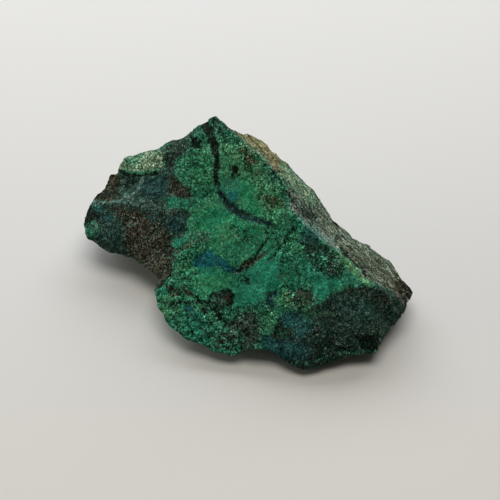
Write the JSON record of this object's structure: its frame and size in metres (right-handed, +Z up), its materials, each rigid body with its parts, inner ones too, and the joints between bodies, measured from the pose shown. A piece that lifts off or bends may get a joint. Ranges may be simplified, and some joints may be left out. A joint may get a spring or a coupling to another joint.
{
  "type": "chrysocolla specimen",
  "caption": "Broken wedge-shaped lump of green and blue copper ore rock with a high crest, a low dark lobe and a flat side it rests on.",
  "frame": {"origin": "centre of the bounding box's bottom, on the surface the stone rests on", "axes": "+X along the stone's length, from the low left lobe to the right end of the crest; +Y from the front lip to the broken back; +Z up, from the flat resting face to the peak"},
  "size_m": [0.1066, 0.0782, 0.0435],
  "materials": {
    "chrysocolla_rock": "matte, finely grained, with smoother blue-green patches"
  },
  "bodies": {
    "root": {"chrysocolla_rock": "chrysocolla_rock"}
  },
  "joints": []
}
